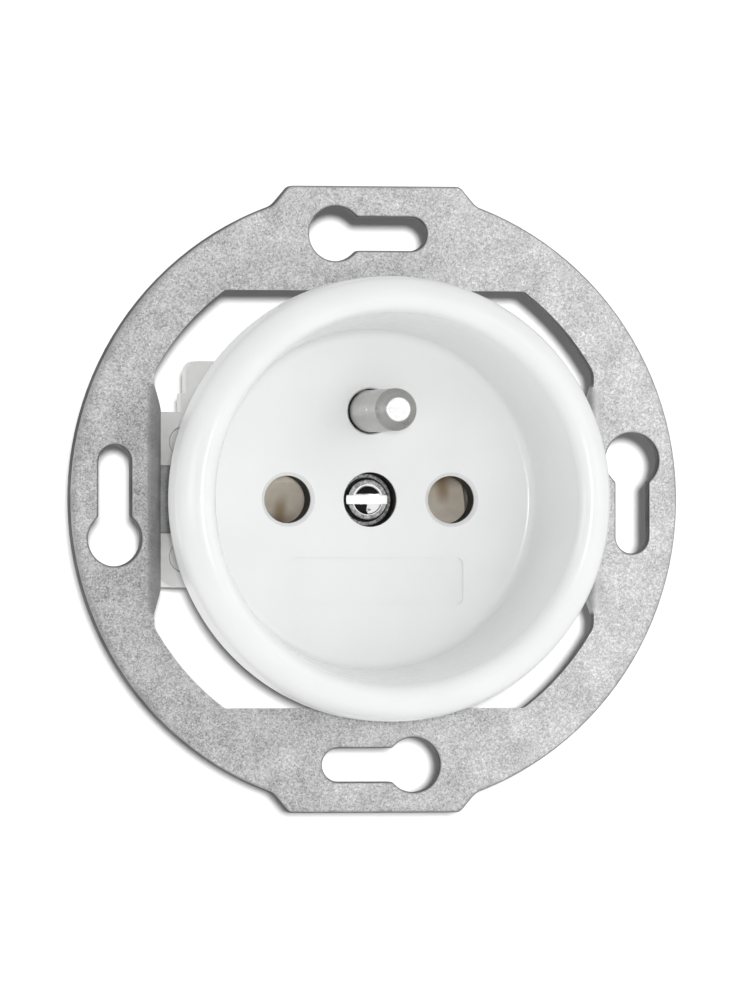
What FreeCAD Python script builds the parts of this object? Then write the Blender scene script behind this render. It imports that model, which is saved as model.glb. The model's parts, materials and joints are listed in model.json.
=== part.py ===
import FreeCAD, Part
import math
import os

# Flush-mounted porcelain wall socket with two contact holes and a standing earth pin.
# Millimetres. The front faces -Y, up is +Z, and the origin lies on the socket's axis
# in the back face of the steel support ring, which is the face that meets the wall.

VEC = FreeCAD.Vector
BACK = VEC(0, 1, 0)

# Support ring: one folded sheet of steel
SHEET = 1.5
KEY_AXIS_R = 30.0
RING_BORDER = 5.2
LOBE_RISE = 0.2
LOBE_HALF_W = 9.9
LOBE_FLARE = 1.9
LOBE_ROUND_R = 1.0
LOBE_HOLLOW_R = 2.6
OPENING_INSET = 0.7
OPENING_FLAT_INSET = 6.4
OPENING_CORNER_R = 1.0
RELIEF_OUT = 1.1
RELIEF_CORNER_R = 2.0
TAB_GAP = 0.4
TAB_HALF_H = 9.8
TAB_ROOT_Z = 12.9
EDGE_ROLL_R = 0.3
BEND_INNER_R = 0.4
KEY_HOLE_R = 3.1
KEY_HOLE_OFFSET = 4.5
KEY_SLOT_W = 3.8
KEY_SLOT_END = 4.2
KEY_NECK_R = 0.6
FLANGE_FRONT_Y = 5.8
FLANGE_HALF_H = 3.75
FLANGE_TIP_X = 14.6
CLAW_HOLE_IN = 3.6
CLAW_HOLE_R = 1.6
CLAW_COLLAR_R = 2.3
CLAW_COLLAR_H = 0.8

# Porcelain cup
RECESS_DEPTH = 15.0
FLOOR_Y = 0.9
FLOOR_T = 3.6
FLOOR_R = 19.1
FLOOR_ROUND_R = 1.0
MOUTH_R = 20.9
CROWN_R = 22.5
CROWN_INNER_DROP = 1.7
RIM_R = 25.05
RIM_WIDEST_DROP = 4.1
RIM_BAND = 3.2
RIM_UNDER_R = 1.2
WAIST_R = 22.0
HEEL_R = 20.4
HEEL_RISE = 2.2
LABEL_W = 20.4
LABEL_H = 5.3
LABEL_X = 0.65
LABEL_Z = -9.2
LABEL_DEPTH = 0.35
LABEL_CORNER_R = 0.8

# Contacts of the plug system
PIN_PITCH = 19.0
CONTACT_HOLE_R = 2.7
CONTACT_CHAMFER = 0.4
EARTH_Z = 10.0
EARTH_PIN_R = 2.4
EARTH_ROOT_R = 2.15
EARTH_PIN_OUT = 14.0
EARTH_TIP_R = 1.4
EARTH_TIP_L = 1.4
EARTH_TIP_ROUND = 0.25
EARTH_HOLE_R = 2.55
EARTH_CHAMFER = 0.15
EARTH_STUB_R = 1.9
EARTH_HEAD_R = 2.6
EARTH_HEAD_T = 0.9

# Cup screw, washer and bush
SCREW_WELL_R = 3.1
SCREW_WELL_DEPTH = 2.8
SCREW_HEAD_R = 2.4
SCREW_HEAD_H = 1.2
SCREW_DOME_R = 1.65
SCREW_DOME_H = 0.35
SCREW_HEAD_ROUND = 0.25
SCREW_SLOT_W = 1.0
SCREW_SLOT_DEPTH = 0.5
SCREW_PASS_R = 1.7
SCREW_SHANK_R = 1.2
SCREW_SHANK_L = 6.5
WASHER_R = 2.9
WASHER_T = 0.4
BUSH_R = 3.0
BUSH_STUB_R = 2.0
BUSH_BORE_R = 1.25
BUSH_END_GAP = 0.2

# Earth bridge, a stamped plate with a leg bent back to the earth terminal
BRIDGE_T = 1.2
BRIDGE_TOP_Z = 13.4
BRIDGE_ARM_W = 3.6
BRIDGE_OUTER_X = 18.4
BRIDGE_SLOPE = 4.6
BRIDGE_TONGUE_R = 3.2
BRIDGE_CORNER_R = 1.0
LEG_HALF_W = 3.5

# Rivets through bridge, ring flange and base
RIVET_X = 16.4
RIVET_R = 0.9
RIVET_HEAD_R = 1.5
RIVET_HEAD_T = 0.6
RIVET_TAIL_R = 1.4
RIVET_TAIL_T = 0.6
RIVET_GRIP = 4.4

# Insulating body: front half
SEAT_GAP = 0.1
PRESS_GAP = 0.02
BASE_D = 9.0
SHOULDER_HALF_W = 24.0
SHOULDER_HALF_H = 9.9
SHOULDER_LOW_CORNER_R = 2.4
BASE_HALF_W = 18.9
BASE_TOP_Z = 15.65
BASE_LOW_HALF_W = 13.0
BASE_LOW_Z = -14.7
TURRET_HALF_W = 6.6
TURRET_TOP_Z = 21.8
CORNER_R = 1.2
LIP_T = 2.1
LIP_HALF_W = 20.55
LIP_STEP_W = 0.6
LIP_STEP_Z = 12.0
BASE_HOLE_R = 3.3
FRONT_WALL = 2.3

# Shutter, a rotor with two wings, and its torsion spring
WING_IN_R = 4.0
WING_OUT_R = 12.6
WING_HALF_DEG = 18.5
WING_T = 3.2
WING_THIN = 0.8
WING_FLAT = 2.0
SHUTTER_TURN_DEG = 36.0
SHUTTER_GAP = 0.2
HUB_L = 5.2
HUB_BORE_GAP = 0.05
STOP_GAP_DEG = 1.0
SPRING_WIRE_R = 0.25
SPRING_PITCH = 0.62
SPRING_TURNS = 2.0
SPRING_GAP = 0.3
SPRING_FIXED_LEG = 6.3
SPRING_FREE_LEG = 2.2
CAVITY_ROOM = 2.0
CATCH_W = 1.25
CATCH_H = 1.1
CATCH_GAP = 0.15

# Insulating plate behind the shutter
PLATE_T = 1.0
PLATE_R = 13.5

# Brass contacts
SLEEVE_IN_R = 2.3
SLEEVE_T = 0.8
SLEEVE_L = 6.8
SLEEVE_SLOT_W = 1.2
SLEEVE_GAP = 0.2
STRIP_T = 0.8
TONGUE_HALF_W = 4.0
TONGUE_L = 6.6
TONGUE_Z = -6.5

# Terminals: a tapped tongue, a clamping plate and a screw
WIRE_GAP = 2.4
CLAMP_T = 1.2
CLAMP_HALF_W = 4.0
CLAMP_HALF_L = 3.0
TERMINAL_Y = 17.2
TERMINAL_IN = 2.0
TERMINAL_BORE_R = 1.4
TERMINAL_SHANK_R = 1.35
TERMINAL_PASS_R = 1.85
TERMINAL_HEAD_R = 2.9
TERMINAL_HEAD_H = 2.2
TERMINAL_SLOT_W = 0.9
TERMINAL_SLOT_DEPTH = 1.1
WIRE_HOLE_R = 1.2
WIRE_FUNNEL_R = 2.0
WIRE_PITCH = 5.6

# Insulating body: rear half
COVER_D = 9.5
COVER_WALL = 1.4
COVER_BACK_T = 1.5
COVER_SIDE_IN = 2.3
COVER_UPPER_IN = 2.2
COVER_LOW_CORNER_R = 3.4
COVER_BACK_CHAMFER = 0.4
POST_X = 20.7
POST_Z = 6.5
POST_R = 1.7
POST_GAP = 0.1
POST_SUNK = 0.2
DRIVER_GAP = 0.4
MIDDLE_RIB_HALF = 0.8
SLEEVE_ROOM = 1.0
CLAW_NOTCH_IN = 3.3
CLAW_NOTCH_HALF_H = 2.6

# Places that follow from the sizes above
RING_FRONT_Y = -SHEET
RING_R = KEY_AXIS_R + RING_BORDER
LOBE_TOP_Z = RING_R + LOBE_RISE
OPENING_R = KEY_AXIS_R - OPENING_INSET
OPENING_HALF_H = KEY_AXIS_R - OPENING_FLAT_INSET
TAB_FACE_X = SHOULDER_HALF_W + TAB_GAP
RELIEF_HALF_W = TAB_FACE_X + RELIEF_OUT
CLAW_HOLE_X = TAB_FACE_X - CLAW_HOLE_IN
COVER_SIDE_X = SHOULDER_HALF_W - COVER_SIDE_IN
COVER_UPPER_X = BASE_HALF_W - COVER_UPPER_IN
CROWN_Y = FLOOR_Y - RECESS_DEPTH
CUP_BACK_Y = FLOOR_Y + FLOOR_T
BASE_FRONT_Y = CUP_BACK_Y
BASE_BACK_Y = BASE_FRONT_Y + BASE_D
BRIDGE_BACK_Y = FLANGE_FRONT_Y
BRIDGE_FRONT_Y = BRIDGE_BACK_Y - BRIDGE_T
FLANGE_BACK_Y = FLANGE_FRONT_Y + SHEET
POCKET_Y = BASE_FRONT_Y + FRONT_WALL
PLATE_FRONT_Y = BASE_BACK_Y - PLATE_T
WING_FRONT_Y = POCKET_Y + SHUTTER_GAP
HUB_BACK_Y = WING_FRONT_Y + HUB_L
SLEEVE_FRONT_Y = BASE_BACK_Y + SLEEVE_GAP
SLEEVE_BACK_Y = SLEEVE_FRONT_Y + SLEEVE_L
STRIP_BACK_Y = SLEEVE_BACK_Y + STRIP_T
COVER_BACK_Y = BASE_BACK_Y + COVER_D
CONTACT_X = PIN_PITCH / 2
TERMINAL_X = CONTACT_X - TERMINAL_IN
SLEEVE_OUT_R = SLEEVE_IN_R + SLEEVE_T
SLEEVE_ROOM_X = CONTACT_X + SLEEVE_OUT_R + SLEEVE_ROOM
SPRING_MEAN_R = WING_IN_R + SPRING_GAP + SPRING_WIRE_R
CAVITY_R = SPRING_MEAN_R + SPRING_WIRE_R + CAVITY_ROOM
SPRING_START_Y = HUB_BACK_Y - SPRING_PITCH * SPRING_TURNS - SPRING_WIRE_R
LEG_OUTER_Z = BRIDGE_TOP_Z + BRIDGE_T
LEG_END_Y = TERMINAL_Y + CLAMP_HALF_L
SCREW_SEAT_Y = FLOOR_Y + SCREW_WELL_DEPTH


def bar_y(radius, y0, y1, x=0.0, z=0.0):
    """Round bar along Y from y0 to y1."""
    return Part.makeCylinder(radius, y1 - y0, VEC(x, y0, z), BACK)


def bar_z(radius, z0, z1, x=0.0, y=0.0):
    """Round bar along Z from z0 to z1."""
    return Part.makeCylinder(radius, z1 - z0, VEC(x, y, z0), VEC(0, 0, 1))


def cone_y(radius0, radius1, y0, y1, x=0.0, z=0.0):
    """Cone along Y, radius0 at y0 and radius1 at y1."""
    return Part.makeCone(radius0, radius1, y1 - y0, VEC(x, y0, z), BACK)


def block(x0, x1, y0, y1, z0, z1):
    return Part.makeBox(x1 - x0, y1 - y0, z1 - z0, VEC(x0, y0, z0))


def mirror_x(shape):
    return shape.mirror(VEC(0, 0, 0), VEC(1, 0, 0))


def mirror_z(shape):
    return shape.mirror(VEC(0, 0, 0), VEC(0, 0, 1))


def turned(shape, degrees):
    """Copy turned about the socket's axis, clockwise as the user sees it."""
    copy = shape.copy()
    copy.rotate(VEC(0, 0, 0), BACK, degrees)
    return copy


def rounded_wire(corners, y=0.0):
    """Closed wire in an XZ plane. Each corner is (x, z, radius)."""
    edges = []
    ends = []
    count = len(corners)
    for i in range(count):
        x, z, radius = corners[i]
        here = VEC(x, y, z)
        before = VEC(corners[i - 1][0], y, corners[i - 1][1])
        after = VEC(corners[(i + 1) % count][0], y, corners[(i + 1) % count][1])
        to_before = (before - here).normalize()
        to_after = (after - here).normalize()
        if radius <= 0:
            ends.append((here, here, None))
            continue
        half = to_before.getAngle(to_after) / 2
        reach = radius / math.tan(half)
        middle = (to_before + to_after).normalize()
        centre = here + middle * (radius / math.sin(half))
        ends.append((here + to_before * reach, here + to_after * reach, centre - middle * radius))
    for i in range(count):
        start, stop, crest = ends[i]
        if crest is not None:
            edges.append(Part.Arc(start, crest, stop).toShape())
        following = ends[(i + 1) % count][0]
        if (following - stop).Length > 1e-6:
            edges.append(Part.makeLine(stop, following))
    return Part.Wire(Part.sortEdges(edges)[0])


def plate(corners, y0, y1, grow=0.0):
    """Flat plate with rounded corners between y0 and y1, its outline grown by a clearance."""
    wire = rounded_wire(corners, y0)
    if grow:
        wire = wire.makeOffset2D(grow)
    return Part.Face(wire).extrude(VEC(0, y1 - y0, 0))


def revolved(points_and_arcs, x=0.0, z=0.0):
    """Solid of revolution about the socket's axis from a profile of edges in the XY plane."""
    wire = Part.Wire(points_and_arcs)
    solid = Part.Face(wire).revolve(VEC(0, 0, 0), BACK, 360)
    solid.translate(VEC(x, 0, z))
    return solid


def line(a, b):
    return Part.makeLine(VEC(a[0], a[1], 0), VEC(b[0], b[1], 0))


def arc(a, via, b):
    return Part.Arc(VEC(a[0], a[1], 0), VEC(via[0], via[1], 0), VEC(b[0], b[1], 0)).toShape()


def quarter(centre, half_x, half_y, start_deg, end_deg):
    """Part of an ellipse in the XY plane, from start_deg to end_deg, as one smooth curve."""
    points = []
    steps = 6
    for i in range(steps + 1):
        angle = math.radians(start_deg + (end_deg - start_deg) * i / steps)
        points.append(VEC(centre[0] + half_x * math.cos(angle), centre[1] + half_y * math.sin(angle), 0))
    curve = Part.BSplineCurve()
    curve.interpolate(points)
    return curve.toShape()


def sector(r_in, r_out, y0, y1, from_deg, to_deg):
    """Annular sector about the socket's axis. Degrees count from +X towards +Z."""
    ring = bar_y(r_out, y0, y1).cut(bar_y(r_in, y0, y1))
    far = r_out * 2
    first = math.radians(from_deg)
    last = math.radians(to_deg)
    middle = (first + last) / 2
    wedge = Part.makePolygon([
        VEC(0, y0, 0),
        VEC(far * math.cos(first), y0, far * math.sin(first)),
        VEC(far * 1.5 * math.cos(middle), y0, far * 1.5 * math.sin(middle)),
        VEC(far * math.cos(last), y0, far * math.sin(last)),
        VEC(0, y0, 0),
    ])
    return ring.common(Part.Face(wedge).extrude(VEC(0, y1 - y0, 0)))


# Support ring

def ring_outline():
    """Round plate with a flat-topped lobe above and below, blended into the circle."""
    disc = bar_y(RING_R, RING_FRONT_Y, 0)
    foot_x = LOBE_HALF_W + LOBE_FLARE
    foot_z = math.sqrt(RING_R ** 2 - foot_x ** 2)
    low_x = foot_x + LOBE_HOLLOW_R * 1.4
    low_z = math.sqrt(RING_R ** 2 - low_x ** 2)
    lobe = plate([
        (-low_x, low_z, 0), (-foot_x, foot_z, LOBE_HOLLOW_R), (-LOBE_HALF_W, LOBE_TOP_Z, LOBE_ROUND_R),
        (LOBE_HALF_W, LOBE_TOP_Z, LOBE_ROUND_R), (foot_x, foot_z, LOBE_HOLLOW_R), (low_x, low_z, 0),
    ], RING_FRONT_Y, 0)
    return disc.fuse([lobe, mirror_z(lobe)])


def ring_opening():
    """Inner opening: a circle cut flat above, below and beside the tabs, its corners rounded."""
    depth = SHEET * 3
    y0 = RING_FRONT_Y - SHEET
    circle = bar_y(OPENING_R, y0, y0 + depth)
    band = block(-RELIEF_HALF_W, RELIEF_HALF_W, y0, y0 + depth, -OPENING_HALF_H, OPENING_HALF_H)
    opening = circle.common(band)
    upright = [e for e in opening.Edges if e.BoundBox.YLength > SHEET]
    flat_corners = [e for e in upright if abs(e.BoundBox.Center.z) > OPENING_HALF_H - 0.01]
    opening = opening.makeFillet(OPENING_CORNER_R, flat_corners)
    upright = [e for e in opening.Edges if e.BoundBox.YLength > SHEET]
    side_corners = [e for e in upright if abs(e.BoundBox.Center.x) > RELIEF_HALF_W - 0.01]
    opening = opening.makeFillet(RELIEF_CORNER_R, side_corners)
    bend_start = TAB_FACE_X + BEND_INNER_R + SHEET
    widen = block(0, bend_start, y0, y0 + depth, -TAB_ROOT_Z, TAB_ROOT_Z)
    return opening.fuse([widen, mirror_x(widen)])


def keyhole():
    """Keyhole slot at the top: a round hole on the left and a slot running right."""
    y0 = RING_FRONT_Y - SHEET
    y1 = SHEET
    half = KEY_SLOT_W / 2
    hole = bar_y(KEY_HOLE_R, y0, y1, -KEY_HOLE_OFFSET, KEY_AXIS_R)
    slot_end = bar_y(half, y0, y1, KEY_SLOT_END, KEY_AXIS_R)
    slot = block(-KEY_HOLE_OFFSET, KEY_SLOT_END, y0, y1, KEY_AXIS_R - half, KEY_AXIS_R + half)
    # rounded neck between hole and slot
    reach = KEY_HOLE_R + KEY_NECK_R
    rise = half + KEY_NECK_R
    neck_dx = math.sqrt(reach ** 2 - rise ** 2)
    touch_x = -KEY_HOLE_OFFSET + neck_dx * KEY_HOLE_R / reach
    touch_z = rise * KEY_HOLE_R / reach
    neck_x = -KEY_HOLE_OFFSET + neck_dx
    neck = plate([
        (touch_x, KEY_AXIS_R - touch_z, 0), (touch_x, KEY_AXIS_R + touch_z, 0),
        (neck_x, KEY_AXIS_R + rise, 0), (neck_x, KEY_AXIS_R - rise, 0),
    ], y0, y1)
    for side in (-1, 1):
        neck = neck.cut(bar_y(KEY_NECK_R, y0, y1, neck_x, KEY_AXIS_R + side * rise))
    return hole.fuse([slot_end, slot, neck]).removeSplitter()


def side_tab():
    """Right side: the sheet bends back, runs along the base and bends in to a tapped flange."""
    outer = BEND_INNER_R + SHEET
    face = TAB_FACE_X
    back = TAB_FACE_X + SHEET
    bend_x = face + outer
    bend_y = RING_FRONT_Y + outer
    diag = math.sqrt(0.5)
    end_y = FLANGE_FRONT_Y
    upper = Part.Wire([
        line((bend_x, RING_FRONT_Y), (bend_x, 0)),
        arc((bend_x, 0), (bend_x - BEND_INNER_R * diag, bend_y - BEND_INNER_R * diag), (back, bend_y)),
        line((back, bend_y), (back, end_y)),
        line((back, end_y), (face, end_y)),
        line((face, end_y), (face, bend_y)),
        arc((face, bend_y), (bend_x - outer * diag, bend_y - outer * diag), (bend_x, RING_FRONT_Y)),
    ])
    tab = Part.Face(upper).extrude(VEC(0, 0, TAB_ROOT_Z * 2))
    tab.translate(VEC(0, 0, -TAB_ROOT_Z))
    # the tab's root narrows through the bend, and the rest is straight
    taper = plate([
        (RELIEF_HALF_W, TAB_ROOT_Z, 0), (face, TAB_HALF_H, 0), (face - SHEET, TAB_HALF_H, 0),
        (face - SHEET, TAB_ROOT_Z + SHEET, 0), (RELIEF_HALF_W, TAB_ROOT_Z + SHEET, 0),
    ], RING_FRONT_Y - SHEET, end_y + SHEET)
    straight = block(face - SHEET, bend_x, bend_y, end_y + SHEET, TAB_HALF_H, TAB_ROOT_Z + SHEET)
    tab = tab.cut([taper, mirror_z(taper), straight, mirror_z(straight)])
    turn_y = FLANGE_FRONT_Y - BEND_INNER_R
    turn_x = face - BEND_INNER_R
    lower = Part.Wire([
        line((face, turn_y), (back, turn_y)),
        arc((back, turn_y), (turn_x + outer * diag, turn_y + outer * diag), (turn_x, FLANGE_BACK_Y)),
        line((turn_x, FLANGE_BACK_Y), (FLANGE_TIP_X, FLANGE_BACK_Y)),
        line((FLANGE_TIP_X, FLANGE_BACK_Y), (FLANGE_TIP_X, FLANGE_FRONT_Y)),
        line((FLANGE_TIP_X, FLANGE_FRONT_Y), (turn_x, FLANGE_FRONT_Y)),
        arc((turn_x, FLANGE_FRONT_Y), (turn_x + BEND_INNER_R * diag, turn_y + BEND_INNER_R * diag),
            (face, turn_y)),
    ])
    flange = Part.Face(lower).extrude(VEC(0, 0, FLANGE_HALF_H * 2))
    flange.translate(VEC(0, 0, -FLANGE_HALF_H))
    # the tab's free ends stop at the flange's bend
    spare = block(face - SHEET, back + SHEET, turn_y, end_y + SHEET, FLANGE_HALF_H, TAB_HALF_H + SHEET)
    tab = tab.cut([spare, mirror_z(spare), block(face - SHEET, back + SHEET, turn_y, end_y + SHEET,
                                                 -FLANGE_HALF_H, FLANGE_HALF_H)])
    collar = bar_y(CLAW_COLLAR_R, FLANGE_BACK_Y, FLANGE_BACK_Y + CLAW_COLLAR_H, CLAW_HOLE_X)
    folded = tab.fuse([flange, collar])
    claw_hole = bar_y(CLAW_HOLE_R, FLANGE_FRONT_Y - SHEET, FLANGE_BACK_Y + SHEET, CLAW_HOLE_X)
    rivet_hole = bar_y(RIVET_R + PRESS_GAP, FLANGE_FRONT_Y - SHEET, FLANGE_BACK_Y + SHEET, RIVET_X)
    return folded.cut([claw_hole, rivet_hole])


def support_ring():
    key = keyhole()
    keys = [turned(key, 90 * i) for i in range(4)]
    sheet = ring_outline().cut(keys)
    # stamping rolls the front edges of the outline and the keyholes
    rolled = [e for e in sheet.Edges if e.BoundBox.YMax < RING_FRONT_Y + 0.01]
    sheet = sheet.makeFillet(EDGE_ROLL_R, rolled)
    sheet = sheet.cut(ring_opening())
    tab = side_tab()
    return sheet.fuse([tab, mirror_x(tab)]).removeSplitter()


# Porcelain cup

def cup_body():
    """Turned body: rounded rim, slightly flared recess, waist that passes through the ring."""
    widest_y = CROWN_Y + RIM_WIDEST_DROP
    under_y = widest_y + RIM_BAND
    mouth_y = CROWN_Y + CROWN_INNER_DROP
    diag = math.sqrt(0.5)
    wall_angle = math.atan2(MOUTH_R - FLOOR_R, FLOOR_Y - mouth_y)
    round_reach = FLOOR_ROUND_R * math.tan((math.pi / 2 - wall_angle) / 2)
    floor_end = FLOOR_R - round_reach
    wall_foot = (FLOOR_R + round_reach * math.sin(wall_angle), FLOOR_Y - round_reach * math.cos(wall_angle))
    turn = (math.pi / 2 - wall_angle) / 2
    crest = (floor_end + FLOOR_ROUND_R * math.sin(turn), FLOOR_Y - FLOOR_ROUND_R * (1 - math.cos(turn)))
    heel_y = CUP_BACK_Y - HEEL_RISE
    return revolved([
        line((0, FLOOR_Y), (floor_end, FLOOR_Y)),
        arc((floor_end, FLOOR_Y), crest, wall_foot),
        line(wall_foot, (MOUTH_R, mouth_y)),
        quarter((CROWN_R, mouth_y), CROWN_R - MOUTH_R, CROWN_INNER_DROP, 180, 270),
        quarter((CROWN_R, widest_y), RIM_R - CROWN_R, RIM_WIDEST_DROP, 270, 360),
        line((RIM_R, widest_y), (RIM_R, under_y)),
        arc((RIM_R, under_y), (RIM_R - RIM_UNDER_R * (1 - diag), under_y + RIM_UNDER_R * diag),
            (RIM_R - RIM_UNDER_R, under_y + RIM_UNDER_R)),
        line((RIM_R - RIM_UNDER_R, under_y + RIM_UNDER_R), (WAIST_R, under_y + RIM_UNDER_R)),
        line((WAIST_R, under_y + RIM_UNDER_R), (WAIST_R, heel_y)),
        quarter((HEEL_R, heel_y), WAIST_R - HEEL_R, HEEL_RISE, 0, 90),
        line((HEEL_R, CUP_BACK_Y), (0, CUP_BACK_Y)),
        line((0, CUP_BACK_Y), (0, FLOOR_Y)),
    ])


def floor_hole(radius, chamfer, x=0.0, z=0.0):
    """Hole through the floor with a soft chamfer at its mouth."""
    hole = bar_y(radius, FLOOR_Y - chamfer, CUP_BACK_Y + 1, x, z)
    mouth = cone_y(radius + chamfer * 2, radius, FLOOR_Y - chamfer, FLOOR_Y + chamfer, x, z)
    return hole.fuse(mouth)


def porcelain_cup():
    label = plate([
        (LABEL_X - LABEL_W / 2, LABEL_Z - LABEL_H / 2, LABEL_CORNER_R),
        (LABEL_X - LABEL_W / 2, LABEL_Z + LABEL_H / 2, LABEL_CORNER_R),
        (LABEL_X + LABEL_W / 2, LABEL_Z + LABEL_H / 2, LABEL_CORNER_R),
        (LABEL_X + LABEL_W / 2, LABEL_Z - LABEL_H / 2, LABEL_CORNER_R),
    ], FLOOR_Y - 1, FLOOR_Y + LABEL_DEPTH)
    cuts = [
        floor_hole(CONTACT_HOLE_R, CONTACT_CHAMFER, CONTACT_X),
        floor_hole(CONTACT_HOLE_R, CONTACT_CHAMFER, -CONTACT_X),
        floor_hole(EARTH_HOLE_R, EARTH_CHAMFER, 0, EARTH_Z),
        bar_y(SCREW_WELL_R, FLOOR_Y - 1, SCREW_SEAT_Y),
        bar_y(SCREW_PASS_R, FLOOR_Y, CUP_BACK_Y + 1),
        label,
    ]
    return cup_body().cut(cuts)


# Metal parts at the front

def earth_pin():
    tip_y = FLOOR_Y - EARTH_PIN_OUT
    cone_end = tip_y + EARTH_TIP_L
    pin = cone_y(EARTH_TIP_R, EARTH_PIN_R, tip_y, cone_end, 0, EARTH_Z)
    pin = pin.fuse([
        bar_y(EARTH_PIN_R, cone_end, FLOOR_Y, 0, EARTH_Z),
        bar_y(EARTH_ROOT_R, FLOOR_Y, BRIDGE_FRONT_Y, 0, EARTH_Z),
        bar_y(EARTH_STUB_R, BRIDGE_FRONT_Y, BRIDGE_BACK_Y, 0, EARTH_Z),
        bar_y(EARTH_HEAD_R, BRIDGE_BACK_Y, BRIDGE_BACK_Y + EARTH_HEAD_T, 0, EARTH_Z),
    ]).removeSplitter()
    soft = [e for e in pin.Edges if abs(e.BoundBox.YMin - tip_y) < 0.01 and e.BoundBox.YLength < 0.01]
    return pin.makeFillet(EARTH_TIP_ROUND, soft)


def cup_screw():
    """Slotted screw with a flat-rimmed head and a low dome in its middle."""
    head_front = SCREW_SEAT_Y - WASHER_T - SCREW_HEAD_H
    head_back = SCREW_SEAT_Y - WASHER_T
    dome_ball_r = (SCREW_DOME_R ** 2 + SCREW_DOME_H ** 2) / (2 * SCREW_DOME_H)
    head = bar_y(SCREW_HEAD_R, head_front, head_back)
    edge = [e for e in head.Edges if e.BoundBox.YMax < head_front + 0.01]
    head = head.makeFillet(SCREW_HEAD_ROUND, edge)
    ball = Part.makeSphere(dome_ball_r, VEC(0, head_front - SCREW_DOME_H + dome_ball_r, 0))
    dome = ball.common(bar_y(SCREW_DOME_R, head_front - 2 * SCREW_DOME_H, head_back))
    shank = bar_y(SCREW_SHANK_R, head_back, head_back + SCREW_SHANK_L)
    slot = block(-SCREW_HEAD_R * 2, SCREW_HEAD_R * 2, head_front - 1, head_front + SCREW_SLOT_DEPTH,
                 -SCREW_SLOT_W / 2, SCREW_SLOT_W / 2)
    return head.fuse([dome, shank]).cut(slot)


def cup_washer():
    y0 = SCREW_SEAT_Y - WASHER_T
    return bar_y(WASHER_R, y0, SCREW_SEAT_Y).cut(bar_y(SCREW_PASS_R, y0, SCREW_SEAT_Y))


def centre_bush():
    end_y = PLATE_FRONT_Y - BUSH_END_GAP
    bush = bar_y(BUSH_STUB_R, BRIDGE_FRONT_Y, BRIDGE_BACK_Y).fuse(bar_y(BUSH_R, BRIDGE_BACK_Y, end_y))
    return bush.cut(bar_y(BUSH_BORE_R, BRIDGE_FRONT_Y, end_y))


def bridge_corners():
    """Outline of the bridge: an arch over the contacts with a tongue down to the centre."""
    inner_x = BRIDGE_OUTER_X - BRIDGE_ARM_W
    arm_low = BRIDGE_TOP_Z - BRIDGE_ARM_W
    slope = BRIDGE_SLOPE
    tip = -BRIDGE_TONGUE_R
    foot = -FLANGE_HALF_H
    half = [
        (inner_x, foot, BRIDGE_CORNER_R),
        (inner_x, arm_low - slope + BRIDGE_CORNER_R, BRIDGE_CORNER_R),
        (inner_x - slope + BRIDGE_CORNER_R, arm_low, BRIDGE_CORNER_R),
        (BRIDGE_TONGUE_R + BRIDGE_CORNER_R, arm_low, BRIDGE_CORNER_R),
        (BRIDGE_TONGUE_R, arm_low - 2 * BRIDGE_CORNER_R, BRIDGE_CORNER_R),
        (BRIDGE_TONGUE_R, tip, BRIDGE_TONGUE_R * 0.9),
    ]
    right = [
        (BRIDGE_OUTER_X - slope, BRIDGE_TOP_Z, BRIDGE_CORNER_R),
        (BRIDGE_OUTER_X, BRIDGE_TOP_Z - slope, BRIDGE_CORNER_R),
        (BRIDGE_OUTER_X, foot, BRIDGE_CORNER_R),
    ] + half
    left = [(-x, z, r) for x, z, r in reversed(right)]
    return right + left


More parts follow.
